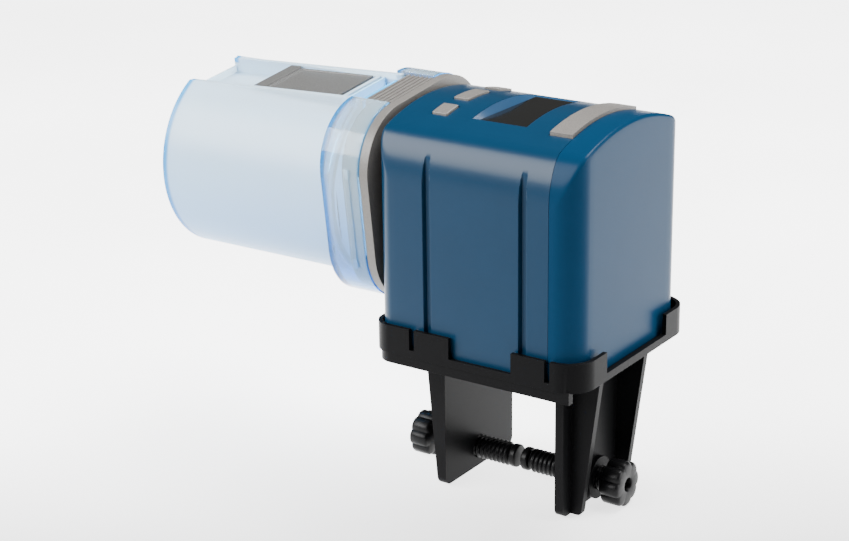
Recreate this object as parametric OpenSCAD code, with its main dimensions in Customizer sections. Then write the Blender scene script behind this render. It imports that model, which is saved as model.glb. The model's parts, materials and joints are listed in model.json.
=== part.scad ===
// Automatic aquarium feeder that clamps to the rim of a tank.
// A black bracket holds a battery-driven body, and a clear food drum turns on the body's drive hub.
// Origin: middle of the seat rib's underside, the face that rests on the tank's rim.
// +X runs from the drum towards the battery end cap, +Y away from the panel's near side, +Z up.

/* [Bracket] */
// Length of the tray that holds the body
tray_length = 76.4; // [74:0.2:84]
// Width of the tray
tray_width = 70.8; // [69:0.2:76]
// Height of the tray's tall lips above the seat
lip_height = 12.9; // [10:0.1:16]
// Height of the low rim between the lips
rim_height = 6.1; // [5.6:0.1:8]
// Distance from the seat down to the feet of the legs
leg_depth = 46; // [44:0.5:60]
// Gap between the two legs, which takes the tank wall
leg_gap = 41; // [36:0.5:44]
// Full width of each leg
leg_width = 41; // [36:0.5:46]

/* [Thumb screws] */
// Outer diameter of the screw thread
screw_d = 8; // [7:0.1:9]
// Depth of the screw axis below the seat
screw_drop = 39.2; // [38:0.1:40]
// Diameter of the knob over its lobes
knob_d = 15; // [13:0.1:16]

/* [Body] */
// Width of the body across its flat sides
body_width = 66.6; // [66:0.1:68]
// Height of the body's crest above the seat
body_top = 80.5; // [79:0.1:83]
// Radius of the gently domed top
dome_r = 75; // [70:1:100]
// Radius of the arc in which each side leans in towards the top
shoulder_r = 23.3; // [20:0.1:26]
// Radius of the edge between that arc and the dome
dome_edge_r = 4; // [3:0.1:5]
// Wall thickness of the mouldings
wall = 2; // [1.6:0.1:2.4]
// Position along X of the seam between the housing and the end cap
seam_x = 25.8; // [25:0.1:27]

/* [Drum] */
// Height of the drum's axis above the seat
axis_z = 48.2; // [47.5:0.1:49]
// Outer radius of the clear drum
drum_r = 32.2; // [31:0.1:32.6]
// Wall thickness of the clear drum
drum_wall = 1.8; // [1.4:0.1:2.2]
// Position along X of the drum's closed end
drum_end_x = -124.7; // [-130:0.1:-118]
// Half the width of the rounded-square collar and hub
collar_half = 32.8; // [32:0.1:33.2]
// Angle at which the drum has stopped after its last turn
rest_turn = 7; // [0:1:12]

/* [Gears] */
// Teeth on the output gear
output_teeth = 36; // [36:1:36]
// Teeth on the idler's large wheel
idler_teeth = 40; // [40:1:40]
// Module of the output mesh
output_module = 0.8; // [0.8:0.1:0.8]
// Module of the motor mesh
motor_module = 0.6; // [0.6:0.1:0.6]

/* [Hidden] */
$fn = 64;
eps = 0.01;
running = 0.06;

// bracket
tray_wall = 1.4;
tray_corner_r = [7, 9.2];
floor_under = 3.6;
floor_top = 5.2;
skirt_inset = 0.8;
skirt_t = 2.4;
skirt_top = 4.1;
skirt_end_x = 34;
slit_w = 1.8;
slit_x = [-22.3, 26.8];
side_gap_x = [-8.5, 14];
end_gap_half = 19;
leg_left_x = -20;
leg_right_x = leg_left_x + leg_gap;
leg_left_wall = 2.4;
leg_right_wall = 3;
flange_t = 2.4;
leg_left_flange = [7.6, 3.2];
leg_right_flange = [13.4, 6.9];
leg_right_flange_y = 15.5;
foot_corner = 3;
left_boss_r = 6.2;
right_boss_r = 7;
left_boss_reach = 4;
right_boss_reach = 1.8;
rib_t = 2.4;
rib_y = [-17, 0, 17];

// thumb screws
thread_r = screw_d / 2 - 0.03;
bore_r = thread_r + running;
knob_r = knob_d / 2;
knob_t = 7;
knob_lobes = 8;
pad_r = thread_r - 0.1;
pad_t = 2.4;
pivot_r = 1.5;
pivot_len = 2;
left_tip_x = -4.4;
right_tip_x = -2.2;
left_knob_x = -43.8;
right_knob_x = 29.1;
knob_socket_r = 2.2;
knob_socket_depth = 4;

// body
body_x0 = -36.5;
body_x1 = 35.3;
body_z0 = floor_top + 0.1;
body_corner_r = [5.6, 8];
half_w = body_width / 2;
dome_centre = [0, body_top - dome_r];
side_top_z = 60.4;
shoulder_centre = [half_w - shoulder_r, side_top_z];
edge_centre = tangent_centre(shoulder_centre, shoulder_r - dome_edge_r, dome_centre, dome_r - dome_edge_r);
shoulder_angle = direction(shoulder_centre, edge_centre);
edge_angle = direction(dome_centre, edge_centre);
groove_x = [-17.8, 16.6];
groove_w = 2;
groove_depth = 1.2;
groove_top = 69;

// round posts inside the housing that take the battery tray's screws
post_yz = [[-26.2, 12.6], [26.2, 12.6], [-26.2, 58], [26.2, 58]];
post_r = 3;
post_bore_r = 1.1;
post_head_r = 1.8;

// panel
recess_x = [-10.8, 8.6];
recess_foot_x = -8.6;
recess_half_y = 17.4;
recess_floor = 77.2;
window_t = 1;
lcd_x = [-7.6, 7.4];
lcd_half_y = 15.2;
button_x = [-25, -19.6];
button_gap = 0.25;
button_proud = 0.7;
button_travel = 0.8;
buttons_y = [[-18.2, -11.6], [-6, 6.2], [11.8, 19.4]];
bar_x = [17.9, seam_x - 0.2];
bar_half_y = 19.5;
board_z = 67;
board_t = 1.6;
board_x = [-31, 24];
board_half_y = 22;
switch_h = 2.6;
switch_tip = 0.6;
stem_gap = 0.05;
stem_r = 1.4;

// drum
hub_x0 = -42;
hub_x1 = -38.8;
plug_x0 = -49.6;
grip_x0 = -52.2;
collar_x0 = -57;
collar_r = 20;
plug_gap = 0.35;
grip_half = 11.8;
grip_ribs = 6;
clip_z = 17;
channel_half = 10.9;
channel_floor = 24.2;
channel_slope = 2.4;
rail_half = 12.6;
rail_top = 29.2;
end_wall_rise = 2.4;
stop_x = [-62.4, -61];
slot_x = [-93, -70];
slot_half = 8;
shutter_x = [-98, -64];
shutter_half = 10.6;
shutter_top = 28.2;
shaft_r = 4;
bush_r = 6;
bush_flange_r = 9;
shaft_end_x = -24.4;
stub_r = 2.5;

// gear train
pressure = 25;
flank_relief = 0.07;
pinion_teeth = 12;
motor_teeth = 10;
output_pitch_r = output_module * output_teeth / 2;
output_pinion_r = output_module * pinion_teeth / 2;
idler_pitch_r = motor_module * idler_teeth / 2;
motor_pitch_r = motor_module * motor_teeth / 2;
idler_dir = -47;
motor_dir = -140;
idler_distance = output_pitch_r + output_pinion_r;
motor_distance = idler_pitch_r + motor_pitch_r;
idler_y = idler_distance * cos(idler_dir);
idler_z = axis_z + idler_distance * sin(idler_dir);
motor_y = idler_y + motor_distance * cos(motor_dir);
motor_z = idler_z + motor_distance * sin(motor_dir);
gear_x = [-33, -29.2];
wheel_x = [-28.8, -27.2];
plate_x = [-26, -24];
axle_r = 1.5;
motor_r = 10;
motor_len = 25;
motor_shaft_r = 1;

// battery bay
tray_x = [15.6, 17.4];
cell_r = 7.25;
cell_len = 50.5;
cell_x = 25.4;
cell_z = [18, 35.5];
flange_x = [28, 29];
flange_y = [29.3, 30.6];
cover_rib_x = [26.2, 27.6];

// ---------- shared shapes ----------

// Points on an arc, for outlines
function arc(cx, cy, r, a0, a1, steps) =
    [for (i = [0:steps]) [cx + r * cos(a0 + (a1 - a0) * i / steps), cy + r * sin(a0 + (a1 - a0) * i / steps)]];

// Direction in degrees from one point to another
function direction(a, b) = atan2(b[1] - a[1], b[0] - a[0]);

// The point at distance r1 from c1 and r2 from c2, on the left of the way from c1 to c2
function tangent_centre(c1, r1, c2, r2) =
    let (d = norm(c2 - c1), along = (r1 * r1 - r2 * r2 + d * d) / (2 * d), u = (c2 - c1) / d)
    c1 + along * u + sqrt(r1 * r1 - along * along) * [-u[1], u[0]];

// Extrudes a Y-Z outline along X
module along_x(x0, x1) {
    translate([x0, 0, 0]) rotate([90, 0, 90]) linear_extrude(x1 - x0) children();
}

// A cylinder along X
module rod_x(x0, x1, r, y = 0, z = 0, fn = 64) {
    translate([x0, y, z]) rotate([0, 90, 0]) cylinder(h = x1 - x0, r = r, $fn = fn);
}

// A box given by its ranges
module block(x, y, z) {
    translate([x[0], y[0], z[0]]) cube([x[1] - x[0], y[1] - y[0], z[1] - z[0]]);
}

// Outline of a rectangle whose corners are rounded by r[0] at its low X end and r[1] at its high X end
module round_rect(x, half_y, r) {
    translate([x[0] + r[0], -half_y]) square([x[1] - x[0] - r[0] - r[1], 2 * half_y]);
    for (i = [0, 1], side = [-1, 1])
        translate([i == 0 ? x[0] + r[0] : x[1] - r[1], side * (half_y - r[i])]) circle(r[i]);
    translate([x[0], -half_y + r[0]]) square([r[0] + eps, 2 * half_y - 2 * r[0]]);
    translate([x[1] - r[1] - eps, -half_y + r[1]]) square([r[1] + eps, 2 * half_y - 2 * r[1]]);
}

// Moves drum-side shapes, drawn about the drum axis, to where the drum stands
module on_drum_axis() {
    translate([0, 0, axis_z]) rotate([rest_turn, 0, 0]) children();
}

// ---------- bracket ----------

module tray_outline(inset) {
    round_rect([-tray_length / 2 + inset, tray_length / 2 - inset], tray_width / 2 - inset,
        [tray_corner_r[0] - inset, tray_corner_r[1] - inset]);
}

module tray_walls() {
    difference() {
        translate([0, 0, floor_under]) linear_extrude(lip_height - floor_under) tray_outline(0);
        translate([0, 0, floor_top]) linear_extrude(lip_height) tray_outline(tray_wall);
        block(side_gap_x, [-tray_width, tray_width], [rim_height, lip_height + 1]);
        block([-tray_length, tray_length], [-end_gap_half, end_gap_half], [rim_height, lip_height + 1]);
        for (x = slit_x)
            block([x - slit_w / 2, x + slit_w / 2], [-tray_width, tray_width], [rim_height, lip_height + 1]);
    }
}

// Skirt under the tray along both long sides, turning around the two corners at the low X end
module skirt() {
    linear_extrude(skirt_top) difference() {
        intersection() {
            tray_outline(skirt_inset);
            for (side = [0, 1])
                mirror([0, side]) translate([-tray_length, tray_width / 2 - tray_corner_r[1]])
                    square([tray_length + skirt_end_x - 4, tray_corner_r[1]]);
        }
        tray_outline(skirt_inset + skirt_t);
    }
    face_y = -tray_width / 2 + skirt_inset;
    for (side = [0, 1])
        mirror([0, side, 0]) block([0, skirt_end_x], [face_y, face_y + skirt_t], [0, skirt_top]);
}

// Side view of a leg's flange, from the tray down to the foot
module flange_outline(reach) {
    polygon(concat(
        [[0, floor_top - 0.5], [reach[0], floor_top - 0.5]],
        arc(reach[1] - foot_corner / 2, -leg_depth + foot_corner / 2, foot_corner / 2, 0, -90, 4),
        [[0, -leg_depth]]));
}

// A leg that opens towards +X: a plate on x = 0 with a flange on each side, whose outer faces are at flange_y
module leg(reach, plate_t, flange_y) {
    difference() {
        union() {
            block([0, plate_t], [-leg_width / 2, leg_width / 2], [-leg_depth, floor_top - 0.5]);
            for (side = [0, 1])
                mirror([0, side, 0]) translate([0, flange_y, 0]) rotate([90, 0, 0])
                    linear_extrude(flange_t) flange_outline(reach);
        }
        for (side = [0, 1])
            mirror([0, side, 0]) foot_rounding();
    }
}

// What is cut from a leg's lower corner to round it
module foot_rounding() {
    centre = [leg_width / 2 - foot_corner, -leg_depth + foot_corner];
    difference() {
        block([-1, 40], [centre[0], leg_width / 2 + 1], [-leg_depth - 1, centre[1]]);
        rod_x(-2, 41, foot_corner, centre[0], centre[1], 32);
    }
}

module mount_bracket() {
    leg_faces = [leg_left_x - leg_left_wall, leg_right_x + leg_right_wall];
    color("#232323") difference() {
        union() {
            tray_walls();
            skirt();
            for (y = rib_y)
                block([leg_left_x - eps, leg_right_x + eps], [y - rib_t / 2, y + rib_t / 2],
                    [0, floor_under + eps]);
            translate([leg_right_x, 0, 0]) leg(leg_right_flange, leg_right_wall, leg_right_flange_y);
            translate([leg_left_x, 0, 0]) mirror([1, 0, 0]) leg(leg_left_flange, leg_left_wall, leg_width / 2);
            rod_x(leg_faces[0] - left_boss_reach, leg_left_x - 1, left_boss_r, 0, -screw_drop);
            rod_x(leg_right_x + 1, leg_faces[1] + right_boss_reach, right_boss_r, 0, -screw_drop);
        }
        rod_x(leg_left_x - 20, leg_left_x + 1, bore_r, 0, -screw_drop);
        rod_x(leg_right_x - 1, leg_right_x + 20, bore_r, 0, -screw_drop);
    }
}

// ---------- thumb screws ----------

// Knob with rounded lobes, its outer face at x = 0, and the shaft running towards +X
module thumb_screw(shaft_len) {
    color("#1e1e1e") difference() {
        union() {
            rod_x(0, knob_t, knob_r - 1.1);
            for (i = [0:knob_lobes - 1])
                rotate([i * 360 / knob_lobes, 0, 0]) rod_x(0.4, knob_t - 0.4, 2.2, 0, knob_r - 2.2, 24);
            rod_x(knob_t - 1, shaft_len, thread_r);
        }
        rod_x(-1, knob_socket_depth, knob_socket_r);
        rod_x(shaft_len - pivot_len - 0.3, shaft_len + 1, pivot_r + running);
    }
}

// Swivel pad at a screw's tip, its clamping face at x = 0 and its pivot towards -X
module clamp_pad() {
    color("#2a2a2a") {
        rod_x(-pad_t, 0, pad_r);
        rod_x(-pad_t - pivot_len, -pad_t + eps, pivot_r, 0, 0, 32);
    }
}

module left_thumb_screw() {
    translate([left_knob_x, 0, -screw_drop]) thumb_screw(left_tip_x - pad_t - 0.1 - left_knob_x);
}

module left_clamp_pad() {
    translate([left_tip_x, 0, -screw_drop]) clamp_pad();
}

module right_thumb_screw() {
    translate([right_knob_x + knob_t, 0, -screw_drop]) mirror([1, 0, 0])
        thumb_screw(right_knob_x + knob_t - right_tip_x - pad_t - 0.1);
}

module right_clamp_pad() {
    translate([right_tip_x, 0, -screw_drop]) mirror([1, 0, 0]) clamp_pad();
}

// ---------- body shell ----------

// Cross-section of the body: flat sides, round shoulders and a shallow dome
module body_profile(inset) {
    right = concat(
        [[half_w - inset, body_z0 + inset]],
        arc(shoulder_centre[0], shoulder_centre[1], shoulder_r - inset, 0, shoulder_angle, 6),
        arc(edge_centre[0], edge_centre[1], dome_edge_r - inset, shoulder_angle, edge_angle, 4),
        arc(dome_centre[0], dome_centre[1], dome_r - inset, edge_angle, 90, 7));
    polygon(concat(right, [for (i = [len(right) - 1:-1:0]) [-right[i][0], right[i][1]]]));
}

module body_plan(inset) {
    linear_extrude(body_top + 10)
        round_rect([body_x0 + inset, body_x1 - inset], half_w - inset,
            [body_corner_r[0] - inset, body_corner_r[1] - inset]);
}

// The body's outer form between two stations, shrunk by inset
module body_form(x0, x1, inset) {
    intersection() {
        along_x(x0, x1) body_profile(inset);
        body_plan(inset);
    }
}

// Vertical styling grooves on the two flat sides
module grooves() {
    for (x = groove_x, side = [0, 1])
        mirror([0, side, 0])
            block([x - groove_w / 2, x + groove_w / 2], [-half_w - 1, -half_w + groove_depth], [0, groove_top]);
}

// Recess over the display, with a wall that slopes down at its low X side
module display_recess() {
    top = body_top + 0.5;
    side = [[recess_foot_x, recess_floor], [recess_x[1], recess_floor], [recess_x[1], top], [recess_x[0], top]];
    translate([0, recess_half_y, 0]) rotate([90, 0, 0]) linear_extrude(2 * recess_half_y) polygon(side);
}

module main_housing() {
    color("#35607f") difference() {
        union() {
            difference() {
                body_form(body_x0, seam_x, 0);
                body_form(body_x0 + wall, seam_x + 1, wall);
            }
            intersection() {
                block([recess_x[0] - 1.6, recess_x[1] + 1.6], [-recess_half_y - 1.6, recess_half_y + 1.6],
                    [recess_floor - window_t - 1.4, body_top]);
                body_form(body_x0, seam_x, 0.2);
            }
            for (p = post_yz)
                rod_x(body_x0 + wall - eps, tray_x[0] - 0.1, post_r, p[0], p[1], 32);
        }
        grooves();
        display_recess();
        block([lcd_x[0] - 0.9, lcd_x[1] + 0.9], [-lcd_half_y - 0.9, lcd_half_y + 0.9],
            [recess_floor - window_t - 2, recess_floor + 1]);
        for (y = buttons_y)
            block([button_x[0] - button_gap, button_x[1] + button_gap], [y[0] - button_gap, y[1] + button_gap],
                [board_z, body_top + 1]);
        block([bar_x[0] - button_gap, seam_x + 1], [-bar_half_y - button_gap, bar_half_y + button_gap],
            [board_z, body_top + 1]);
        rod_x(body_x0 - 1, body_x0 + wall + 1, bush_r, 0, axis_z);
        for (p = post_yz)
            rod_x(0, tray_x[0] + 1, post_bore_r, p[0], p[1], 32);
    }
}

// Flanged bearing bush for the hub's shaft
module shaft_bush() {
    color("#d9d4c4") difference() {
        union() {
            rod_x(body_x0, body_x0 + wall + 0.4, bush_r, 0, axis_z);
            rod_x(body_x0 - 1.6, body_x0 - eps, bush_flange_r, 0, axis_z);
        }
        rod_x(body_x0 - 3, body_x0 + wall + 3, shaft_r + running, 0, axis_z);
    }
}

module gear_plate() {
    color("#e6e2d6") difference() {
        union() {
            block(plate_x, [-26, 26], [body_z0 + wall + 0.1, 64]);
            rod_x(plate_x[1] - eps, plate_x[1] + 3, 3.4, idler_y, idler_z, 32);
        }
        rod_x(plate_x[0] - 1, plate_x[1] + 1, stub_r + running, 0, axis_z);
        rod_x(plate_x[0] - 1, plate_x[1] + 4, axle_r, idler_y, idler_z, 32);
        rod_x(plate_x[0] - 1, plate_x[1] + 1, 4.2, motor_y, motor_z, 32);
        for (side = [-1, 1])
            rod_x(plate_x[0] - 1, plate_x[1] + 1, 1.1, motor_y, motor_z + side * 7, 24);
        for (p = post_yz)
            rod_x(plate_x[0] - 1, plate_x[1] + 1, post_r + 0.1, p[0], p[1], 32);
    }
}

module idler_axle() {
    color("#c8ccd0") rod_x(body_x0 + wall, plate_x[1] + 2.8, axle_r, idler_y, idler_z, 32);
}

module drive_motor() {
    color("#b4b8bc") difference() {
        union() {
            intersection() {
                rod_x(plate_x[1], plate_x[1] + motor_len, motor_r, motor_y, motor_z);
                block([plate_x[1] - 1, plate_x[1] + motor_len + 1], [motor_y - 7.6, motor_y + 7.6],
                    [motor_z - 11, motor_z + 11]);
            }
            rod_x(plate_x[1] - 1.6, plate_x[1] + eps, 4, motor_y, motor_z, 32);
            rod_x(plate_x[1] + motor_len - eps, plate_x[1] + motor_len + 2, 3.5, motor_y, motor_z, 32);
        }
        rod_x(plate_x[1] - 3, plate_x[1] + 12, motor_shaft_r + running, motor_y, motor_z, 32);
        for (side = [-1, 1])
            rod_x(plate_x[1] - 1, plate_x[1] + 4, 1, motor_y, motor_z + side * 7, 24);
    }
}

module motor_screws() {
    color("#9a9da0") for (side = [-1, 1]) {
        rod_x(plate_x[0] - 0.8, plate_x[0] - eps, 1.9, motor_y, motor_z + side * 7, 24);
        rod_x(plate_x[0] - 0.5, plate_x[1] + 3.5, 1, motor_y, motor_z + side * 7, 24);
    }
}

// ---------- electronics ----------

module circuit_board() {
    color("#1f5a38") difference() {
        block(board_x, [-board_half_y, board_half_y], [board_z, board_z + board_t]);
        for (x = [board_x[0] + 3, board_x[1] - 3], y = [-board_half_y + 3, board_half_y - 3])
            translate([x, y, board_z - 1]) cylinder(h = 4, r = 1.2, $fn = 24);
    }
}

// Push switches under the three buttons and the feed bar
module panel_switches() {
    color("#3a3a3a") {
        for (y = buttons_y)
            switch_body((button_x[0] + button_x[1]) / 2, (y[0] + y[1]) / 2, board_z + board_t);
        switch_body((bar_x[0] + bar_x[1]) / 2, 0, board_z + board_t);
    }
}

module switch_body(x, y, z) {
    block([x - 2.1, x + 2.1], [y - 2.1, y + 2.1], [z, z + switch_h]);
    translate([x, y, z + switch_h - eps]) cylinder(h = switch_tip, r = 1.2, $fn = 24);
}

module board_chips() {
    color("#202124") {
        block([-14, -6], [-17, -9], [board_z - 1.8, board_z]);
        block([0, 5], [6, 14], [board_z - 1.5, board_z]);
        translate([-12, 10, board_z - 6]) cylinder(h = 6, r = 3, $fn = 32);
    }
}

module lcd_module() {
    color("#2c2c29")
        block(lcd_x, [-lcd_half_y, lcd_half_y], [board_z + board_t, recess_floor - window_t - 0.1]);
}

module lcd_window() {
    color([0.2, 0.2, 0.19, 0.5])
        block([lcd_x[0] - 0.8, lcd_x[1] + 0.8], [-lcd_half_y - 0.8, lcd_half_y + 0.8],
            [recess_floor - window_t, recess_floor]);
}

// Switch that feels the cam on the output gear once a turn
module index_switch() {
    color("#26282b") {
        block([-33.4, -29.4], [-26.5, -20.5], [40, 52]);
        block([-32.2, -30.8], [-20.5, -18.8], [44, 48]);
    }
}

// ---------- batteries ----------

module battery_tray() {
    color("#2b2d30") difference() {
        union() {
            intersection() {
                along_x(tray_x[0], tray_x[1]) body_profile(wall + 0.3);
                block([0, 40], [-31, 31], [0, 63]);
            }
            for (z = [cell_z[0] - cell_r - 1.4, (cell_z[0] + cell_z[1]) / 2 - 0.6, cell_z[1] + cell_r + 0.2])
                block([tray_x[1] - eps, 31], [-29.4, 29.4], [z, z + 1.2]);
            for (side = [0, 1])
                mirror([0, side, 0]) battery_box_side();
        }
        for (p = post_yz)
            rod_x(tray_x[0] - 1, tray_x[1] + 1, 1.3, p[0], p[1], 32);
    }
}

// Side wall of the battery box, with the flange that a rib of the cover runs behind
module battery_box_side() {
    z = [cell_z[0] - cell_r - 1.4, cell_z[1] + cell_r + 1.4];
    block([tray_x[1] - eps, 31], [28.2, 29.4], z);
    block(flange_x, [29.4 - eps, flange_y[1]], z);
}

// Two standard cylindrical cells, laid in opposite directions
module battery_cells() {
    color("#3d6e46") for (i = [0, 1])
        translate([cell_x, 0, cell_z[i]]) rotate([90, 0, i * 180]) {
            translate([0, 0, -cell_len / 2]) cylinder(h = cell_len - 1, r = cell_r);
            translate([0, 0, cell_len / 2 - 1 - eps]) cylinder(h = 1, r = 2.75, $fn = 32);
        }
}

// Contact plates, each with a raised pip at the cell's button end
module battery_contacts() {
    color("#c9c4b2") for (i = [0, 1]) {
        for (side = [0, 1])
            mirror([0, side, 0])
                block([cell_x - 5, cell_x + 5], [27.7, 28.2], [cell_z[i] - 5, cell_z[i] + 5]);
        translate([cell_x, 0, cell_z[i]]) rotate([90, 0, i * 180])
            translate([0, 0, cell_len / 2 + 0.05]) cylinder(h = 27.75 - cell_len / 2, r = 2, $fn = 32);
    }
}

// Contact springs, one at each cell's flat end, drawn as the cones they fill
module battery_springs() {
    color("#b9bcc0") for (i = [0, 1])
        translate([cell_x, 0, cell_z[i]]) rotate([90, 0, i * 180])
            translate([0, 0, -27.7]) cylinder(h = 27.7 - cell_len / 2, r1 = 4, r2 = 2.5, $fn = 32);
}

module tray_screws() {
    color("#9a9da0") for (p = post_yz) {
        rod_x(tray_x[1], tray_x[1] + 1.4, post_head_r, p[0], p[1], 32);
        rod_x(6, tray_x[1] + eps, post_bore_r, p[0], p[1], 32);
    }
}

// Battery cover, open underneath: it slides straight up past the cells,
// held by two ribs that run behind the battery tray's flanges
module end_cap() {
    color("#3f6d8e") {
        difference() {
            body_form(seam_x + 0.05, body_x1, 0);
            body_form(seam_x - 1, body_x1 - wall, wall);
            intersection() {
                block([seam_x - 1, body_x1], [-half_w, half_w], [body_z0 - 1, body_z0 + wall + 1]);
                body_plan(wall);
            }
        }
        for (side = [0, 1])
            mirror([0, side, 0])
                block(cover_rib_x, [flange_y[0] + 0.6, half_w - wall + 0.1], [body_z0 + wall + 1, 40]);
    }
}

// ---------- buttons ----------

// A cap that follows the dome and stands a little proud of it, with a stem down to its switch
module dome_cap(x, y, proud) {
    stem_z = board_z + board_t + switch_h + switch_tip + button_travel + stem_gap;
    intersection() {
        along_x(x[0], x[1]) body_profile(-proud);
        block(x, y, [body_top - wall - 2.5, body_top + 5]);
    }
    translate([(x[0] + x[1]) / 2, (y[0] + y[1]) / 2, stem_z])
        cylinder(h = body_top - wall - 2 - stem_z, r = stem_r, $fn = 32);
}

module panel_button(y) {
    color("#82807a") dome_cap(button_x, y, button_proud);
}

module set_button() { panel_button(buttons_y[0]); }
module mode_button() { panel_button(buttons_y[1]); }
module hour_button() { panel_button(buttons_y[2]); }

module feed_bar() {
    color("#82807a") dome_cap(bar_x, [-bar_half_y, bar_half_y], 1);
}

// ---------- gears ----------

function involute(r, base) = r <= base ? 0 : sqrt(pow(r / base, 2) - 1) * 180 / PI - acos(base / r);

// Outline of a spur gear with one tooth's middle on the +X side of its own plane
module spur_outline(m, teeth) {
    pitch = m * teeth / 2;
    base = pitch * cos(pressure);
    tip = pitch + 0.85 * m;
    root = pitch - 1.15 * m;
    half = 90 / teeth - flank_relief / pitch * 180 / PI + involute(pitch, base);
    radii = [root, max(base, root + 0.05), (base + tip) / 2, tip - 0.25 * m, tip];
    flank = [for (r = radii) [r, half - involute(r, base)]];
    polygon([for (i = [0:teeth - 1], k = [0:9])
        let (p = k < 5 ? [flank[k][0], -flank[k][1]] : [flank[9 - k][0], flank[9 - k][1]])
        [p[0] * cos(p[1] + i * 360 / teeth), p[0] * sin(p[1] + i * 360 / teeth)]]);
}

// A spur gear along X with a tooth's middle pointing at the given direction in the Y-Z plane
module spur_gear(x, m, teeth, direction) {
    translate([x[0], 0, 0]) rotate([90, 0, 90]) linear_extrude(x[1] - x[0])
        rotate(direction) spur_outline(m, teeth);
}

module output_gear() {
    color("#e8e2cc") translate([0, 0, axis_z]) difference() {
        union() {
            spur_gear(gear_x, output_module, output_teeth, idler_dir);
            rod_x(gear_x[0] - 0.8, gear_x[1] + 1.2, 6);
        }
        rod_x(gear_x[0] - 2, gear_x[1] + 3, shaft_r);
    }
}

module idler_gear() {
    color("#e8e2cc") translate([0, idler_y, idler_z]) difference() {
        union() {
            spur_gear(gear_x, output_module, pinion_teeth, idler_dir + 180 + 180 / pinion_teeth);
            rod_x(gear_x[1] - eps, wheel_x[0] + eps, output_pinion_r - 1.15 * output_module, 0, 0, 32);
            spur_gear(wheel_x, motor_module, idler_teeth, motor_dir);
        }
        rod_x(gear_x[0] - 2, wheel_x[1] + 2, axle_r + running, 0, 0, 32);
    }
}

module motor_pinion() {
    color("#c9a45a") translate([0, motor_y, motor_z]) {
        spur_gear([wheel_x[0] - 0.4, wheel_x[1] + 0.2], motor_module, motor_teeth,
            motor_dir + 180 + 180 / motor_teeth);
        rod_x(wheel_x[1] + 0.1, plate_x[1] + 10, motor_shaft_r, 0, 0, 32);
    }
}

// ---------- hub and drum ----------

// Rounded-square outline shared by the collar and the hub
module collar_outline(inset) {
    r = collar_r - inset;
    round_rect([-collar_half + inset, collar_half - inset], collar_half - inset, [r, r]);
}

module collar_prism(x0, x1, inset) {
    along_x(x0, x1) collar_outline(inset);
}

module drive_hub() {
    color("#7d7a75") on_drum_axis() {
        collar_prism(hub_x0, hub_x1, 0.3);
        difference() {
            collar_prism(plug_x0, hub_x0 + eps, drum_wall + plug_gap);
            collar_prism(plug_x0 - 1, hub_x0, drum_wall + plug_gap + 2);
        }
        block([grip_x0, hub_x0 + eps], [-grip_half, grip_half],
            [collar_half - drum_wall - plug_gap - 2, collar_half - 0.8]);
        for (i = [0:grip_ribs - 1])
            translate([grip_x0 + 0.6 + i * 1.7, 0, 0])
                block([0, 0.8], [-grip_half, grip_half], [collar_half - 1, collar_half - 0.3]);
        rod_x(hub_x1 - eps, plate_x[0] - 0.2, shaft_r);
        rod_x(plate_x[0] - 0.3, shaft_end_x + 2.2, stub_r, 0, 0, 32);
    }
}

// Retaining clip on the end of the hub's shaft
module hub_clip() {
    color("#55585c") translate([0, 0, axis_z]) difference() {
        rod_x(plate_x[1] + 0.3, plate_x[1] + 1.1, 4.6);
        rod_x(plate_x[1], plate_x[1] + 2, stub_r, 0, 0, 32);
    }
}

// Turns the channel's shapes up towards the collar, about the drum's closed end
module on_channel_slope() {
    translate([drum_end_x, 0, 0]) rotate([0, -channel_slope, 0]) translate([-drum_end_x, 0, 0]) children();
}

module food_drum() {
    color([0.55, 0.8, 0.92, 0.45]) on_drum_axis() difference() {
        union() {
            rod_x(drum_end_x, collar_x0 + 3, drum_r, 0, 0, 128);
            on_channel_slope() drum_rails();
        }
        difference() {
            rod_x(drum_end_x + drum_wall, collar_x0 + 4, drum_r - drum_wall, 0, 0, 128);
            on_channel_slope()
                block([drum_end_x - 5, collar_x0 + 9], [-channel_half - drum_wall, channel_half + drum_wall],
                    [channel_floor - drum_wall, drum_r + 9]);
        }
        on_channel_slope() channel_space();
        block([collar_x0 + 3, collar_x0 + 9], [-rail_half - 1, rail_half + 1], [0, drum_r + 9]);
        block([drum_end_x - 5, drum_end_x], [-rail_half - 1, rail_half + 1], [0, drum_r + 9]);
    }
}

// The raised block along the drum's top, in which the channel leaves a rail on each side
module drum_rails() {
    block([drum_end_x - 2, collar_x0 + 5], [-rail_half, rail_half], [channel_floor, rail_top]);
}

// What is cut for the channel. Between its long spaces stand the shutter's stop and the wall at the closed end.
module channel_space() {
    block([drum_end_x + drum_wall, stop_x[0]], [-channel_half, channel_half], [channel_floor, drum_r + 9]);
    block([stop_x[1], collar_x0 + 9], [-channel_half, channel_half], [channel_floor, drum_r + 9]);
    block([drum_end_x - 5, drum_end_x + drum_wall + 1], [-channel_half, channel_half],
        [channel_floor + end_wall_rise, drum_r + 9]);
    block([stop_x[0] - 1, stop_x[1] + 1], [-channel_half, channel_half], [rail_top - 1, drum_r + 9]);
    block([drum_end_x - 5, collar_x0 + 9], [-rail_half, rail_half], [rail_top, drum_r + 9]);
    block(slot_x, [-slot_half, slot_half], [channel_floor - drum_wall - 1, channel_floor + 1]);
}

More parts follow.
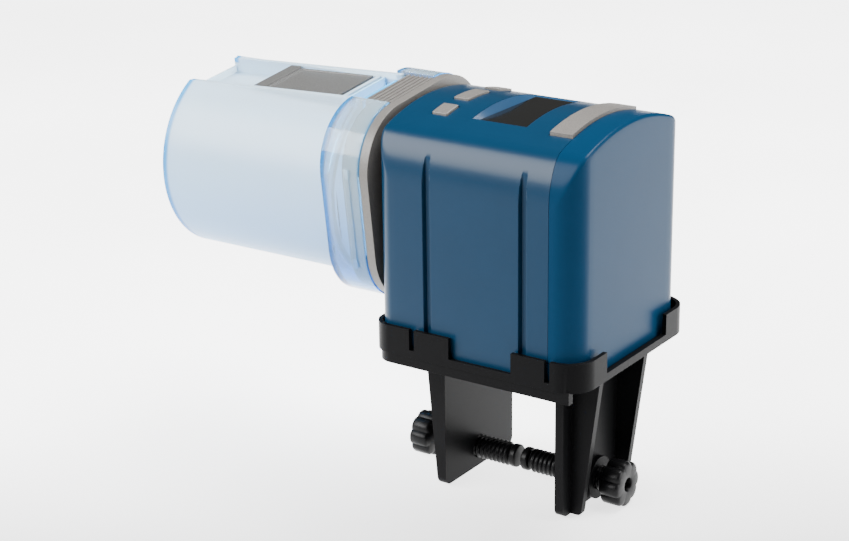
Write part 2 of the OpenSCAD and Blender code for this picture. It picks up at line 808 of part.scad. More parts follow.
module drum_collar() {
    color([0.5, 0.78, 0.92, 0.5]) on_drum_axis() difference() {
        union() {
            difference() {
                collar_prism(collar_x0, hub_x0 - 0.3, 0);
                collar_prism(collar_x0 + drum_wall, hub_x0, drum_wall);
            }
            for (side = [0, 1])
                mirror([0, side, 0])
                    block([-47.4, -45.6], [collar_half - eps, collar_half + 0.5], [-clip_z, clip_z]);
        }
        rod_x(collar_x0 - 1, collar_x0 + 5, drum_r + 0.02, 0, 0, 128);
        block([collar_x0 - 1, hub_x0 + 1], [-rail_half - 0.02, rail_half + 0.02],
            [channel_floor, collar_half + 1]);
    }
}

module feed_shutter() {
    color("#8d8b87") on_drum_axis() on_channel_slope() difference() {
        union() {
            block(shutter_x, [-shutter_half, shutter_half], [channel_floor + 0.2, shutter_top]);
            block([shutter_x[0], shutter_x[0] + 4.6], [-shutter_half, shutter_half],
                [shutter_top - 0.1, shutter_top + 0.7]);
        }
        block([shutter_x[0] + 5.4, shutter_x[1] - 1.2], [-shutter_half + 0.9, shutter_half - 0.9],
            [shutter_top - 0.4, shutter_top + 5]);
    }
}

mount_bracket();
left_clamp_pad();
left_thumb_screw();
right_clamp_pad();
right_thumb_screw();
main_housing();
shaft_bush();
gear_plate();
idler_axle();
drive_motor();
motor_screws();
circuit_board();
panel_switches();
board_chips();
lcd_module();
lcd_window();
index_switch();
battery_tray();
battery_cells();
battery_contacts();
battery_springs();
tray_screws();
end_cap();
set_button();
mode_button();
hour_button();
feed_bar();
drive_hub();
output_gear();
hub_clip();
idler_gear();
motor_pinion();
food_drum();
drum_collar();
feed_shutter();
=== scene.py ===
import json
import math

import bmesh
import bpy
from mathutils import Matrix, Vector

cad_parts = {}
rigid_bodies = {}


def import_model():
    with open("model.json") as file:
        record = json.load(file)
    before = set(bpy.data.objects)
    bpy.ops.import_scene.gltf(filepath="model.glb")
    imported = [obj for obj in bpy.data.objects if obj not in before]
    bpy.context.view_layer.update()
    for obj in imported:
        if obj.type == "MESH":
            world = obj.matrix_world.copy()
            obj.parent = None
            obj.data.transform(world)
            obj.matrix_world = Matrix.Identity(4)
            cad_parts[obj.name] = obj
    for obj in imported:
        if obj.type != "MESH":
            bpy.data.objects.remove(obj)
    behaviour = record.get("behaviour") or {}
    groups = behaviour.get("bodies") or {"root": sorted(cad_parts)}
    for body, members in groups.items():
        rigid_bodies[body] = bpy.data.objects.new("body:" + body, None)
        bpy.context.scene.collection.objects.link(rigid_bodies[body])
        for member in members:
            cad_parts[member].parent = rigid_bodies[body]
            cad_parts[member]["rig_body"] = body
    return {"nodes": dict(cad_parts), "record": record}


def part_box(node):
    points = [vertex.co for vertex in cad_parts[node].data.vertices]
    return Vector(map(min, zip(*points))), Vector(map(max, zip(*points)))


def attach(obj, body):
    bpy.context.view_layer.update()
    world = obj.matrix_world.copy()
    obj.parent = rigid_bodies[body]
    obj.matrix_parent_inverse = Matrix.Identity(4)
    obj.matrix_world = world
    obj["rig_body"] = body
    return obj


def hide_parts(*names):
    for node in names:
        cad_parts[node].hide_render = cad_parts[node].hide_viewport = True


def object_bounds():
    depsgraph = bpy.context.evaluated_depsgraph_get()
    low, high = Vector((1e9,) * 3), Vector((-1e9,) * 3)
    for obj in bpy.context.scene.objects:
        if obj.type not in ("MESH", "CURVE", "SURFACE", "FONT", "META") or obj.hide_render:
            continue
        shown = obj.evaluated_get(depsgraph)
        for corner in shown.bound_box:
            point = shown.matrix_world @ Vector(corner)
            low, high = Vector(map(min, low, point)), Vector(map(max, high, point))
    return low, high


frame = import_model()
CAD_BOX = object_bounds()

MM = 0.001
NODES = frame["nodes"]
BODY_OF = {n: o["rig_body"] for n, o in NODES.items()}
SLOT_OF = {p["node"]: p["material_slot"] for p in frame["record"]["subparts"]}
# Height of the drum's axis and the drum's turn about it at rest
AXIS_Z = 48.2
REST_TURN = math.radians(7)


def span(node, axis):
    """A CAD node's lowest and highest coordinate along an axis, in mm."""
    low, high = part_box(node)
    return low[axis] / MM, high[axis] / MM


# ---------------------------------------------------------------- camera

def look_camera():
    """A camera at the photograph's viewing angle: right of the near side, a little above."""
    azimuth, elevation, roll = math.radians(34.6), math.radians(19.35), math.radians(0.88)
    distance = 0.65
    target = Vector((-0.04133, 0, 0.01858))
    forward = Vector((-math.sin(azimuth) * math.cos(elevation),
                      math.cos(azimuth) * math.cos(elevation), -math.sin(elevation)))
    right = Vector((math.cos(azimuth), math.sin(azimuth), 0))
    up = right.cross(forward)
    turned_right = right * math.cos(roll) + up * -math.sin(roll)
    turned_up = up * math.cos(roll) + right * math.sin(roll)
    basis = Matrix((turned_right, turned_up, -forward)).transposed()
    data = bpy.data.cameras.new("camera")
    data.sensor_width = 36
    data.lens = 83.74
    data.clip_end = 20
    camera = bpy.data.objects.new("camera", data)
    camera.matrix_world = Matrix.Translation(target - forward * distance) @ basis.to_4x4()
    bpy.context.scene.collection.objects.link(camera)
    bpy.context.scene.camera = camera


look_camera()


# ---------------------------------------------------------------- materials

class Nodes:
    """A material under construction, with short ways to add nodes."""

    def __init__(self, name):
        self.mat = bpy.data.materials.new(name)
        self.mat.use_nodes = True
        self.tree = self.mat.node_tree
        self.shader = self.tree.nodes["Principled BSDF"]
        self.coords = self.tree.nodes.new("ShaderNodeTexCoord").outputs["Object"]

    def link(self, a, b):
        self.tree.links.new(a, b)

    def noise(self, scale, detail=3.0, rough=0.5):
        n = self.tree.nodes.new("ShaderNodeTexNoise")
        n.inputs["Scale"].default_value = scale
        n.inputs["Detail"].default_value = detail
        n.inputs["Roughness"].default_value = rough
        self.link(self.coords, n.inputs["Vector"])
        return n.outputs["Fac"]

    def ramp(self, value, low, high, at=(0.3, 0.7)):
        r = self.tree.nodes.new("ShaderNodeValToRGB")
        r.color_ramp.elements[0].position = at[0]
        r.color_ramp.elements[1].position = at[1]
        r.color_ramp.elements[0].color = low
        r.color_ramp.elements[1].color = high
        self.link(value, r.inputs["Fac"])
        return r.outputs["Color"]

    def scalar(self, value, low, high):
        m = self.tree.nodes.new("ShaderNodeMapRange")
        m.inputs["To Min"].default_value = low
        m.inputs["To Max"].default_value = high
        self.link(value, m.inputs["Value"])
        return m.outputs["Result"]

    def bump(self, value, height, strength=1.0):
        b = self.tree.nodes.new("ShaderNodeBump")
        b.inputs["Distance"].default_value = height
        b.inputs["Strength"].default_value = strength
        self.link(value, b.inputs["Height"])
        self.link(b.outputs["Normal"], self.shader.inputs["Normal"])


def tone(rgb, factor=1.0):
    """An sRGB colour given as 0-255 values, as a linear colour scaled by factor."""
    out = []
    for c in rgb:
        c = c / 255
        out.append(min(1, factor * (c / 12.92 if c <= 0.04045 else ((c + 0.055) / 1.055) ** 2.4)))
    return (*out, 1)


def moulded(name, rgb, rough, grain=900, depth=0.00002, spread=0.06, metallic=0.0, coat=0.0,
            rough_spread=0.05, shine=0.5):
    """A moulded or machined surface: fine grain in its colour, gloss and relief."""
    m = Nodes(name)
    fine = m.noise(grain * 4, 2)
    broad = m.noise(grain / 12, 4)
    m.link(m.ramp(broad, tone(rgb, 1 - spread), tone(rgb, 1 + spread)), m.shader.inputs["Base Color"])
    m.link(m.scalar(fine, rough - rough_spread, rough + rough_spread), m.shader.inputs["Roughness"])
    m.shader.inputs["Metallic"].default_value = metallic
    m.shader.inputs["Specular IOR Level"].default_value = shine
    m.shader.inputs["Coat Weight"].default_value = coat
    m.shader.inputs["Coat Roughness"].default_value = 0.25
    m.bump(fine, depth, 0.5)
    return m.mat


def speckled(name, rgb, dark, rough, grain):
    """Grey plastic with the fine flecks of a painted or metal-filled finish."""
    m = Nodes(name)
    flecks = m.noise(grain, 3, 0.7)
    m.link(m.ramp(flecks, tone(dark), tone(rgb), (0.36, 0.62)), m.shader.inputs["Base Color"])
    m.link(m.scalar(flecks, rough + 0.08, rough - 0.08), m.shader.inputs["Roughness"])
    m.bump(flecks, 0.00003, 0.35)
    return m.mat


def clear_blue(name, rgb, rough, weight, density, start, length, bands, inner=0.0):
    """Blue-tinted clear plastic, bluer towards its underside, with painted edge glow: cyan painted along its
    rims, standing in for light running through more plastic there.

    bands lists (mm from start along X, colour) pairs that follow one another; the cyan ones paint the edge
    glow. They fade out nearer to the drum's axis than inner (mm).
    """
    m = Nodes(name)
    sep = m.tree.nodes.new("ShaderNodeSeparateXYZ")
    m.link(m.coords, sep.inputs["Vector"])
    along = m.tree.nodes.new("ShaderNodeMapRange")
    along.inputs["From Min"].default_value = start * MM
    along.inputs["From Max"].default_value = (start + length) * MM
    m.link(sep.outputs["X"], along.inputs["Value"])
    # Painted edge glow: colour bands along X that paint cyan on the rims.
    edge = m.tree.nodes.new("ShaderNodeValToRGB")
    for k, (at, colour) in enumerate(bands):
        stop = edge.color_ramp.elements[k] if k < 2 else edge.color_ramp.elements.new(at / length)
        stop.position = at / length
        stop.color = tone(colour)
    m.link(along.outputs["Result"], edge.inputs["Fac"])
    height = m.tree.nodes.new("ShaderNodeMapRange")
    height.inputs["From Min"].default_value = 0.016
    height.inputs["From Max"].default_value = 0.062
    m.link(sep.outputs["Z"], height.inputs["Value"])
    body = m.ramp(height.outputs["Result"], tone((110, 180, 232)), tone(rgb), (0.0, 1.0))
    mix = m.tree.nodes.new("ShaderNodeMix")
    mix.data_type = "RGBA"
    mix.blend_type = "MULTIPLY"
    mix.inputs["Factor"].default_value = 1
    m.link(body, mix.inputs["A"])
    m.link(edge.outputs["Color"], mix.inputs["B"])
    if inner:
        across = m.tree.nodes.new("ShaderNodeVectorMath")
        across.operation = "MULTIPLY_ADD"
        across.inputs[1].default_value = (0, 1, 1)
        across.inputs[2].default_value = (0, 0, -AXIS_Z * MM)
        m.link(m.coords, across.inputs[0])
        radius = m.tree.nodes.new("ShaderNodeVectorMath")
        radius.operation = "LENGTH"
        m.link(across.outputs["Vector"], radius.inputs[0])
        rim = m.tree.nodes.new("ShaderNodeMapRange")
        rim.interpolation_type = "SMOOTHSTEP"
        rim.inputs["From Min"].default_value = (inner - 0.8) * MM
        rim.inputs["From Max"].default_value = inner * MM
        m.link(radius.outputs["Value"], rim.inputs["Value"])
        m.link(rim.outputs["Result"], mix.inputs["Factor"])
    m.link(mix.outputs["Result"], m.shader.inputs["Base Color"])
    m.link(m.scalar(m.noise(500, 3), rough - 0.03, rough + 0.03), m.shader.inputs["Roughness"])
    m.shader.inputs["Transmission Weight"].default_value = weight
    m.shader.inputs["IOR"].default_value = 1.36
    absorb = m.tree.nodes.new("ShaderNodeVolumeAbsorption")
    absorb.inputs["Color"].default_value = tone((70, 185, 235))
    absorb.inputs["Density"].default_value = density
    m.link(absorb.outputs["Volume"], m.tree.nodes["Material Output"].inputs["Volume"])
    m.bump(m.noise(1400, 2), 0.00002, 0.25)
    return m.mat


def striped(name, rgb, band, at):
    """A cell's wrapper, with one band of another colour around its button end."""
    m = Nodes(name)
    grain = m.noise(300, 2)
    sep = m.tree.nodes.new("ShaderNodeSeparateXYZ")
    m.link(m.coords, sep.inputs["Vector"])
    m.link(m.ramp(m.scalar(sep.outputs["Y"], 0, 1), tone(rgb), tone(band), at), m.shader.inputs["Base Color"])
    m.link(m.scalar(grain, 0.28, 0.4), m.shader.inputs["Roughness"])
    return m.mat


# Cyan of the painted edge glow on the clear parts' rims and on the channel ribs, standing in for light
# through thick clear plastic.
GLOW_CYAN = (70, 180, 236)
MATERIALS = {
    "blue_shell": moulded("satin_blue", (7, 38, 60), 0.3, depth=0.000012, spread=0.03, shine=0.17),
    # A copy of the shell's blue for the battery cover, a shade more saturated and less glossy, set for how
    # the lamps fall on its end face: the colour difference is painted light.
    "blue_cover": moulded("satin_blue_cover", (6, 40, 64), 0.3, depth=0.000012, spread=0.03, shine=0.05),
    "black_bracket": moulded("satin_black", (10, 10, 11), 0.42, depth=0.00002, shine=0.05),
    "black_screw": moulded("moulded_black", (9, 9, 10), 0.36, depth=0.00002, shine=0.11),
    # The drum's cyan rim band is painted edge glow.
    "clear_blue": clear_blue("frosted_blue", (218, 241, 255), 0.32, 0.5, 40, -124.7, 90,
                             [(0, GLOW_CYAN), (1.5, GLOW_CYAN), (2.4, (255, 255, 255)), (60, (255, 255, 255))], 30.2),
    "grey_plastic": speckled("grey_keys", (98, 95, 91), (78, 75, 72), 0.45, 2600),
    "grey_shutter": speckled("grey_shutter", (78, 78, 77), (67, 67, 66), 0.45, 1800),
    "lcd_clear": moulded("display_glass", (13, 13, 12), 0.12, depth=0.000004, rough_spread=0.02),
    "lcd_dark": moulded("display", (40, 41, 37), 0.35),
    "board_green": moulded("board", (24, 82, 48), 0.4),
    "chip_black": moulded("chips", (24, 24, 26), 0.45),
    "gear_white": moulded("gear_nylon", (222, 216, 198), 0.42),
    "inner_black": moulded("inner_black", (32, 33, 35), 0.5),
    "motor_steel": moulded("motor_can", (165, 168, 172), 0.32, metallic=0.9),
    "steel": moulded("steel", (150, 152, 156), 0.3, metallic=1.0),
    "brass_pinion": moulded("brass", (196, 158, 88), 0.3, metallic=1.0),
    "cell_wrap": striped("cell_wrap", (40, 96, 58), (176, 134, 66), (0.505, 0.515)),
}
# The collar's cyan bands at both rims are painted edge glow.
COLLAR_CLEAR = clear_blue("clear_collar", (236, 249, 255), 0.14, 0.8, 60, -57, 16,
                          [(0, GLOW_CYAN), (1.2, GLOW_CYAN), (2.2, (255, 255, 255)), (14, (235, 248, 255)),
                           (14.8, GLOW_CYAN)])
# The ribs are clear plastic; this opaque pale-to-cyan colour is painted light, standing in for light seen
# through them.
RIB_GLOW_CYAN = clear_blue("clear_ribs", (225, 244, 255), 0.2, 0.0, 60, -61, 10,
                      [(0, (150, 215, 245)), (2, (225, 243, 252)), (4, GLOW_CYAN), (6, GLOW_CYAN)])
PANEL_BLUE = moulded("recess_blue", (14, 52, 82), 0.34, depth=0.000012, spread=0.03, coat=0.1)

for node, obj in NODES.items():
    obj.data.materials.clear()
    obj.data.materials.append(MATERIALS[SLOT_OF[node]])


# ---------------------------------------------------------------- mesh helpers

def add_object(name, mesh):
    """Puts a mesh in the scene as an object."""
    obj = bpy.data.objects.new(name, mesh)
    bpy.context.scene.collection.objects.link(obj)
    return obj


def mesh_of(name, verts, faces):
    """A mesh object from points in mm."""
    mesh = bpy.data.meshes.new(name)
    mesh.from_pydata([tuple(c * MM for c in v) for v in verts], [], faces)
    mesh.validate()
    return add_object(name, mesh)


def face_outwards(obj):
    """Makes the faces of a mesh agree and, on a closed one, look outwards."""
    bm = bmesh.new()
    bm.from_mesh(obj.data)
    bmesh.ops.recalc_face_normals(bm, faces=bm.faces)
    if not any(e.is_boundary for e in bm.edges) and bm.calc_volume(signed=True) < 0:
        bmesh.ops.reverse_faces(bm, faces=bm.faces)
    bm.to_mesh(obj.data)
    bm.free()


def stands_for(obj, node, material=None):
    """obj takes a CAD node's place, body, slot and finish."""
    obj.data.materials.clear()
    obj.data.materials.append(material or MATERIALS[SLOT_OF[node]])
    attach(obj, BODY_OF[node])
    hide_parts(node)
    return obj


def trim_piece(obj, node, material=None):
    """An added detail that moves with a CAD node's body."""
    obj.data.materials.clear()
    obj.data.materials.append(material or MATERIALS[SLOT_OF[node]])
    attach(obj, BODY_OF[node])
    return obj


def shade_smooth(obj, angle=None):
    """Smooth shading, with edges steeper than angle left sharp."""
    for p in obj.data.polygons:
        p.use_smooth = True
    if angle:
        bm = bmesh.new()
        bm.from_mesh(obj.data)
        for e in bm.edges:
            if len(e.link_faces) == 2 and e.calc_face_angle(0) > math.radians(angle):
                e.smooth = False
        bm.to_mesh(obj.data)
        bm.free()


def soften(obj, width, segments=3, angle=28):
    """Rounds the edges of a mesh as a mould leaves them."""
    bevel = obj.modifiers.new("soft_edges", "BEVEL")
    bevel.width = width * MM
    bevel.segments = segments
    bevel.limit_method = "ANGLE"
    bevel.angle_limit = math.radians(angle)
    bevel.use_clamp_overlap = True
    bevel.harden_normals = False
    weighted = obj.modifiers.new("flat_faces", "WEIGHTED_NORMAL")
    weighted.keep_sharp = True
    weighted.weight = 80
    shade_smooth(obj)


def softened(node, width, segments=3, angle=28, material=None, split=False):
    """A copy of a CAD node's form with rounded edges, shown in its place.

    split cuts faces with many corners into triangles, so that a notch in them stays open
    when their edges are rounded.
    """
    bm = bmesh.new()
    bm.from_mesh(NODES[node].data)
    bmesh.ops.remove_doubles(bm, verts=bm.verts, dist=2e-6)
    bmesh.ops.dissolve_limit(bm, angle_limit=math.radians(1.2), verts=bm.verts, edges=bm.edges)
    if split:
        bmesh.ops.triangulate(bm, faces=[f for f in bm.faces if len(f.verts) > 60])
    mesh = bpy.data.meshes.new(node + "_soft")
    bm.to_mesh(mesh)
    bm.free()
    obj = add_object(node + "_soft", mesh)
    soften(obj, width, segments, angle)
    return stands_for(obj, node, material)


def swept(name, rings, capped=True):
    """A skin over closed rings that have the same number of points."""
    n = len(rings[0])
    verts = [p for ring in rings for p in ring]
    faces = []
    for k in range(len(rings) - 1):
        for i in range(n):
            j = (i + 1) % n
            faces.append((k * n + i, k * n + j, (k + 1) * n + j, (k + 1) * n + i))
    if capped:
        faces.append(tuple(range(n))[::-1])
        faces.append(tuple((len(rings) - 1) * n + i for i in range(n)))
    return mesh_of(name, verts, faces)


# ---------------------------------------------------------------- body shell

BODY_X = (span("main_housing", 0)[0], span("end_cap", 0)[1])
HALF_W = span("main_housing", 1)[1]
BODY_Z = (span("main_housing", 2)[0], span("main_housing", 2)[1])
SEAM_X = span("end_cap", 0)[0]
# Radii across the body's top, over its shoulders, and of its upright corners on the left and right
DOME_R = 75.0
SIDE_R = 23.3
CORNER_R = (5.6, 8.0)
# Height that the shoulders' arcs are centred at
SIDE_TOP = BODY_Z[1] - 20.1
# Radius of the top's outer edge
CREASE_R = 1.1
GROOVES = (-17.6, 16.8)
WALL = 1.7


def profile_height(y):
    """Height of the body's top surface at a distance y from its middle line."""
    y = min(abs(y), HALF_W)
    dome = BODY_Z[1] - DOME_R + math.sqrt(DOME_R ** 2 - y ** 2)
    y0 = HALF_W - SIDE_R
    side = SIDE_TOP + math.sqrt(max(0.0, SIDE_R ** 2 - max(0.0, y - y0) ** 2)) if y > y0 else 200.0
    gap = dome - side
    blend = 1.5
    if abs(gap) < blend:
        return min(dome, side) - (blend - abs(gap)) ** 2 / (4 * blend)
    return min(dome, side)


def smooth_pulse(d, half, edge):
    """1 within half of the middle, falling to 0 over edge."""
    t = (half + edge - abs(d)) / edge
    t = max(0.0, min(1.0, t))
    return t * t * (3 - 2 * t)


def groove_depth(x):
    """Depth of the side grooves at x."""
    return 1.55 * max(smooth_pulse(x - g, 0.75, 0.7) for g in GROOVES)


def side_positions(x_low, x_high):
    """Places along a long side, even between its ends and close together across each groove."""
    xs = {x_low, x_high}
    for g in GROOVES:
        xs.update(g + k * 0.14 for k in range(-12, 13))
        xs.update((g - 2.4, g + 2.4))
    xs.update(x_low + (x_high - x_low) * k / 22 for k in range(1, 22))
    kept = []
    for x in sorted(xs):
        if not kept or x - kept[-1] > 0.1:
            kept.append(x)
    return kept


def plan_corner(x, side, r, start):
    """Plan points round an upright corner, from a direction given in degrees."""
    points = []
    for k in range(1, 12):
        a = math.radians(start + 90 * k / 12)
        points.append((x + r * math.cos(a), side * (HALF_W - r) + r * math.sin(a), math.cos(a), math.sin(a)))
    return points


def plan_end(x, r, outward):
    """Plan points across an end of the body."""
    half = HALF_W - r
    return [(x, outward * (-half + 2 * half * k / 20), outward, 0) for k in range(21)]


def plan_points():
    """Points around the body's plan, each with its outward direction, from the near left corner round."""
    x_low, x_high = BODY_X[0] + CORNER_R[0], BODY_X[1] - CORNER_R[1]
    along = side_positions(x_low, x_high)
    return ([(x, -HALF_W, 0, -1) for x in along]
            + plan_corner(x_high, -1, CORNER_R[1], -90) + plan_end(BODY_X[1], CORNER_R[1], 1)
            + plan_corner(x_high, 1, CORNER_R[1], 0) + [(x, HALF_W, 0, 1) for x in reversed(along)]
            + plan_corner(x_low, 1, CORNER_R[0], 90) + plan_end(BODY_X[0], CORNER_R[0], -1)
            + plan_corner(x_low, -1, CORNER_R[0], 180))


def inset_point(st, d):
    """A plan point moved inwards by d, where the corners' radii shrink as it goes."""
    x, y, nx, ny = st
    left, right = (r * math.exp(-d / r) for r in CORNER_R)
    if nx and ny:
        keep = right if x > 0 else left
        x_edge = BODY_X[1] - d if x > 0 else BODY_X[0] + d
        return (x_edge - math.copysign(keep, x) + nx * keep,
                math.copysign(HALF_W - d - keep, y) + ny * keep)
    if ny:
        low, high = BODY_X[0] + d + left, BODY_X[1] - d - right
        t = (x - BODY_X[0] - CORNER_R[0]) / (BODY_X[1] - CORNER_R[1] - BODY_X[0] - CORNER_R[0])
        return (low + (high - low) * t, y - ny * d)
    r, keep = (CORNER_R[1], right) if x > 0 else (CORNER_R[0], left)
    return (x - nx * d, y / (HALF_W - r) * (HALF_W - d - keep))


def crease_drop(d):
    """How far the top edge falls at a distance d from the plan's outline."""
    return 0.0 if d >= CREASE_R else CREASE_R - math.sqrt(CREASE_R ** 2 - (CREASE_R - d) ** 2)


def inset_steps():
    """Distances from the outline of the rings over the top: round the crease, then wider apart."""
    steps = [CREASE_R * (1 - math.cos(math.radians(15 * k))) for k in range(1, 7)]
    d, step = steps[-1], 0.45
    while d < HALF_W - 0.5:
        d += step
        step = min(step * 1.25, 2.2)
        steps.append(min(d, HALF_W - 0.3))
    return steps


def in_groove(point):
    """A point moved in to the groove's bottom where it would stand outside it."""
    x, y, z = point
    limit = HALF_W - groove_depth(x)
    return (x, math.copysign(min(abs(y), limit), y), z)


def body_surface(name):
    """The whole body's outer skin, open underneath: rings up its walls, then inwards over its top."""
    stations = plan_points()
    rings = []
    for w in [0.0, 0.02, 0.05] + [0.1 * k for k in range(1, 10)] + [0.94, 0.98, 1.0]:
        rings.append([(x, y, BODY_Z[0] + (profile_height(y) - crease_drop(0) - BODY_Z[0]) * w)
                      for x, y, _, _ in stations])
    for d in inset_steps():
        inner = [inset_point(st, d) for st in stations]
        rings.append([(x, y, profile_height(y) - crease_drop(d)) for x, y in inner])
    obj = swept(name, [[in_groove(p) for p in ring] for ring in rings], capped=False)
    bm = bmesh.new()
    bm.from_mesh(obj.data)
    bmesh.ops.remove_doubles(bm, verts=bm.verts, dist=1e-6)
    rim = [e for e in bm.edges if e.is_boundary and e.verts[0].co.z > 0.07]
    bmesh.ops.contextual_create(bm, geom=rim)
    bmesh.ops.recalc_face_normals(bm, faces=bm.faces)
    bm.to_mesh(obj.data)
    bm.free()
    return obj


def cut_at(obj, x, keep_low):
    """Cuts a skin across at x and keeps the lower or the higher side."""
    bm = bmesh.new()
    bm.from_mesh(obj.data)
    bmesh.ops.bisect_plane(bm, geom=bm.verts[:] + bm.edges[:] + bm.faces[:], plane_co=(x * MM, 0, 0),
                           plane_no=(1, 0, 0), clear_outer=keep_low, clear_inner=not keep_low)
    bm.to_mesh(obj.data)
    bm.free()


def open_hole(obj, x, y):
    """Opens a rectangular hole in the top of a single skin."""
    bm = bmesh.new()
    bm.from_mesh(obj.data)

    def near_faces(margin):
        return [f for f in bm.faces if f.normal.z > 0.3 and f.calc_center_median().z > 0.07
                and x[0] - margin < f.calc_center_median().x / MM < x[1] + margin
                and y[0] - margin < f.calc_center_median().y / MM < y[1] + margin]

    for axis, values in enumerate((x, y)):
        normal = (1, 0, 0) if axis == 0 else (0, 1, 0)
        for value in values:
            faces = near_faces(7)
            parts = {g for f in faces for g in (*f.verts, *f.edges)} | set(faces)
            bmesh.ops.bisect_plane(bm, geom=list(parts), plane_co=tuple(value * MM * c for c in normal),
                                   plane_no=normal)
    bmesh.ops.delete(bm, geom=near_faces(0), context="FACES")
    bm.to_mesh(obj.data)
    bm.free()


def thicken(obj, t):
    """Gives a skin a wall of t mm behind it."""
    mod = obj.modifiers.new("wall", "SOLIDIFY")
    mod.thickness = t * MM
    mod.offset = -1
    mod.use_even_offset = False
    bpy.context.view_layer.update()
    done = bpy.data.meshes.new_from_object(obj.evaluated_get(bpy.context.evaluated_depsgraph_get()))
    obj.modifiers.clear()
    obj.data = done


# Mouth of the display's recess, and the glass at its foot
RECESS_X = (-10.8, 8.6)
RECESS_Y = 17.4
GLASS_X = (-9.0, 8.4)
GLASS_Y = 16.8
GLASS_Z = (span("lcd_window", 2)[0], 78.1)


def housing():
    """The domed shell, open for the display and the keys."""
    obj = body_surface("housing")
    cut_at(obj, SEAM_X - 0.08, True)
    open_hole(obj, RECESS_X, (-RECESS_Y, RECESS_Y))
    for key in ("set_button", "mode_button", "hour_button", "feed_bar"):
        x, y = span(key, 0), span(key, 1)
        far = x[1] + (6 if key == "feed_bar" else 0.3)
        open_hole(obj, (x[0] - 0.3, far), (y[0] - 0.3, y[1] + 0.3))
    thicken(obj, WALL)
    shade_smooth(obj, 35)
    stands_for(obj, "main_housing")


def cover():
    """The battery end's cover, past the seam."""
    obj = body_surface("cover")
    cut_at(obj, SEAM_X + 0.06, False)
    thicken(obj, WALL)
    shade_smooth(obj, 35)
    stands_for(obj, "end_cap")


def display_surround():
    """The recess around the display: a sloped wall on the left and steep walls on the other sides."""
    n = 14
    outer = [(RECESS_X[0], -RECESS_Y + 2 * RECESS_Y * k / n) for k in range(n + 1)]
    outer += [(RECESS_X[1], RECESS_Y - 2 * RECESS_Y * k / n) for k in range(n + 1)]
    top, foot = [], []
    for x, y in outer:
        top.append((x, y, profile_height(y) - 0.12))
        foot_x = GLASS_X[0] if x < 0 else GLASS_X[1]
        foot.append((foot_x - 0.1, y / RECESS_Y * (GLASS_Y - 0.1), GLASS_Z[1] - 0.2))
    obj = swept("display_surround", [top, foot], capped=False)
    face_outwards(obj)
    thicken(obj, 0.2)
    shade_smooth(obj, 25)
    trim_piece(obj, "main_housing", PANEL_BLUE)


def display_glass():
    """The display's dark cover glass."""
    ring = [(GLASS_X[0], -GLASS_Y), (GLASS_X[1], -GLASS_Y), (GLASS_X[1], GLASS_Y), (GLASS_X[0], GLASS_Y)]
    obj = swept("display_glass", [[(x, y, z) for x, y in ring] for z in GLASS_Z])
    face_outwards(obj)
    soften(obj, 0.2, 2)
    stands_for(obj, "lcd_window")


housing()
cover()
display_surround()
display_glass()


# ---------------------------------------------------------------- clamp

def lobed(r, amount, a, lobes=8):
    """Radius at an angle of a knob with rounded lobes."""
    c = abs(math.cos(lobes * a / 2))
    return r - amount * (1 - c) ** 1.5


def screw(node, face_x, knob_t, tip_x, sign):
    """A thumb screw: a lobed knob with a socket, and a moulded right-hand thread down to its tip."""
    n = 96
    z0 = (span(node, 2)[0] + span(node, 2)[1]) / 2
    knob_r = (span(node, 2)[1] - span(node, 2)[0]) / 2
    pitch, crest, root = 1.6, 3.93, 3.25
    rings = []

    def ring(x, radius):
        pts = []
        for i in range(n):
            a = 2 * math.pi * i / n
            r = radius(a)
            pts.append((face_x + sign * x, r * math.cos(a) * (-sign), z0 + r * math.sin(a)))
        rings.append(pts)

    for x, r in ((4, 0.2), (4, 2.2), (0.35, 2.2), (0.1, 2.35), (0, 2.7)):
        ring(x, lambda a, r=r: r)
    for x, cut in ((0, 1.3), (0.12, 0.75), (0.45, 0.25), (0.95, 0.0), (knob_t * 0.5, 0.0),
                   (knob_t - 0.8, 0.05), (knob_t - 0.3, 0.35), (knob_t, 1.1)):
        ring(x, lambda a, c=cut: lobed(knob_r - c, 0.85, a))
    for x, r in ((knob_t, 4.4), (knob_t + 0.25, 4.1), (knob_t + 0.8, 3.9)):
        ring(x, lambda a, r=r: r)
    length = abs(tip_x - face_x)
    start = knob_t + 1.2
    steps = int((length - start) / pitch * 10)
    for k in range(steps):
        x = start + (length - 0.6 - start) * k / (steps - 1)
        fade = min(1, (x - start) / 0.8, (length - 0.6 - x) / 0.5 + 0.01)

        def radius(a, x=x, fade=fade):
            phase = (x / pitch - a / (2 * math.pi)) % 1
            ridge = min(1, max(0, 1.35 - 4.2 * abs(phase - 0.5)))
            return root + (crest - root) * ridge * max(0, fade)
        ring(x, radius)
    ring(length - 0.1, lambda a: root - 0.5)
    ring(length - 0.1, lambda a: 0.2)
    obj = swept(node + "_turned", rings)
    face_outwards(obj)
    shade_smooth(obj, 50)
    stands_for(obj, node)


KNOB_T = 7
left, right = span("left_thumb_screw", 0), span("right_thumb_screw", 0)
screw("left_thumb_screw", left[0], KNOB_T, left[1], 1)
screw("right_thumb_screw", right[1], KNOB_T, right[0], -1)
softened("left_clamp_pad", 0.6, 3)
softened("right_clamp_pad", 0.6, 3)
softened("mount_bracket", 0.4, 3)

# ---------------------------------------------------------------- keys, hub and drum

for key in ("set_button", "mode_button", "hour_button"):
    softened(key, 0.3, 3)
softened("feed_bar", 0.35, 3)
softened("drive_hub", 0.35, 2)
softened("food_drum", 0.4, 3, 24)
softened("drum_collar", 0.22, 3, 24, COLLAR_CLEAR, split=True)
softened("feed_shutter", 0.22, 2)


def on_drum(x, y, z):
    """A point given about the drum's axis, turned to where the drum stands."""
    c, s = math.cos(REST_TURN), math.sin(REST_TURN)
    return (x, y * c - z * s, AXIS_Z + y * s + z * c)


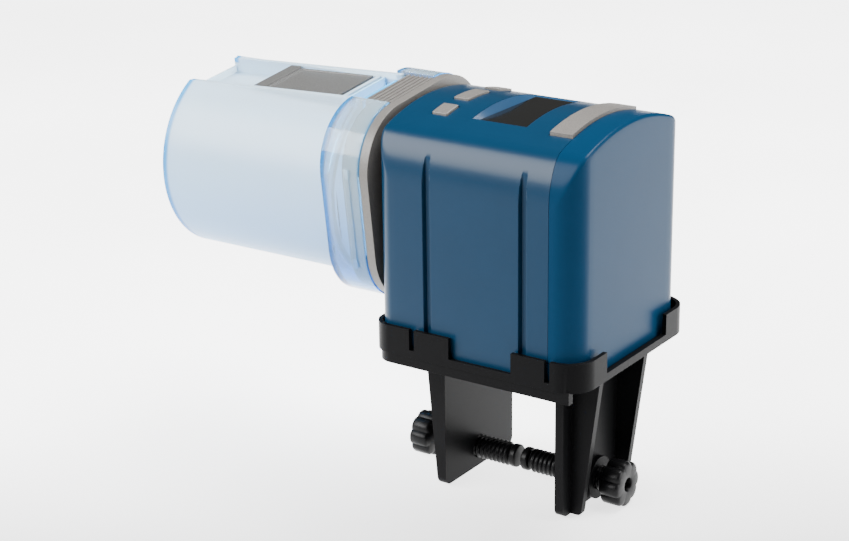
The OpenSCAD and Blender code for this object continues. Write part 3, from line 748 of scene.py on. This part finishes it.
def channel_ribs():
    """Clear ribs and floor across the channel, between the shutter's stop and the hub's grip, in an opaque
    colour painted to stand in for light through clear plastic.
    """
    box_sides = ((0, 2, 3, 1), (4, 5, 7, 6), (0, 1, 5, 4), (2, 6, 7, 3), (0, 4, 6, 2), (1, 3, 7, 5))
    verts, faces = [], []
    low, half = 27.3, 10.7
    for x, top in (((-60.9, -52.5), 28.1), ((-60.9, -60.2), 30.9), ((-56.6, -55.4), 30.3)):
        base = len(verts)
        verts += [on_drum(a, b, c) for c in (low, top) for b in (-half, half) for a in x]
        faces += [tuple(base + i for i in f) for f in box_sides]
    obj = mesh_of("channel_ribs", verts, faces)
    face_outwards(obj)
    soften(obj, 0.2, 2)
    trim_piece(obj, "food_drum", RIB_GLOW_CYAN)


channel_ribs()

for node in ("shaft_bush", "gear_plate", "circuit_board", "panel_switches", "board_chips", "lcd_module",
             "index_switch", "battery_tray", "battery_contacts", "drive_motor", "motor_screws", "tray_screws",
             "hub_clip", "idler_axle"):
    edge = NODES[node].modifiers.new("soft_edges", "BEVEL")
    edge.width = 0.12 * MM
    edge.segments = 1
    edge.limit_method = "ANGLE"
    edge.angle_limit = math.radians(50)


# ---------------------------------------------------------------- studio

def lamp(name, at, toward, size, power):
    """A white softbox at a place, aimed at another."""
    data = bpy.data.lights.new(name, "AREA")
    data.shape = "RECTANGLE"
    data.size, data.size_y = size
    data.energy = power
    obj = bpy.data.objects.new(name, data)
    obj.location = at
    obj.rotation_euler = (Vector(toward) - Vector(at)).to_track_quat("-Z", "Y").to_euler()
    bpy.context.scene.collection.objects.link(obj)


def studio():
    """Pale floor that brightens behind the object, a dim world and three softboxes."""
    foot = CAD_BOX[0][2]
    mesh = bpy.data.meshes.new("floor")
    mesh.from_pydata([(-3, -3, foot), (3, -3, foot), (3, 3, foot), (-3, 3, foot)], [], [(0, 1, 2, 3)])
    floor = add_object("floor", mesh)
    m = Nodes("pale_floor")
    pale = m.ramp(m.noise(6, 3), (0.46, 0.46, 0.46, 1), (0.5, 0.5, 0.5, 1))
    m.link(pale, m.shader.inputs["Base Color"])
    m.link(pale, m.shader.inputs["Emission Color"])
    depth = m.tree.nodes.new("ShaderNodeVectorMath")
    depth.operation = "DOT_PRODUCT"
    depth.inputs[1].default_value = (-0.568, 0.823, 0)
    m.link(m.coords, depth.inputs[0])
    glow = m.tree.nodes.new("ShaderNodeMapRange")
    glow.interpolation_type = "SMOOTHSTEP"
    glow.inputs["From Min"].default_value = -0.12
    glow.inputs["From Max"].default_value = 0.08
    glow.inputs["To Min"].default_value = 0.0
    glow.inputs["To Max"].default_value = 9
    m.link(depth.outputs["Value"], glow.inputs["Value"])
    m.link(glow.outputs["Result"], m.shader.inputs["Emission Strength"])
    m.link(m.scalar(m.noise(80, 3), 0.85, 0.95), m.shader.inputs["Roughness"])
    m.shader.inputs["Specular IOR Level"].default_value = 0.1
    mesh.materials.append(m.mat)
    world = bpy.data.worlds.new("studio")
    world.use_nodes = True
    world.node_tree.nodes["Background"].inputs["Color"].default_value = (1, 1, 1, 1)
    world.node_tree.nodes["Background"].inputs["Strength"].default_value = 0.1
    bpy.context.scene.world = world
    lamp("right_box", (0.9, 0.35, 0.3), (0, 0, 0.03), (0.6, 0.8), 19)
    lamp("front_left_box", (-0.53, -0.74, 0.56), (0, 0, 0.07), (1.0, 0.6), 36)
    lamp("overhead_box", (0.2, 0.3, 1.05), (-0.03, 0, 0.05), (0.7, 0.5), 34)


studio()
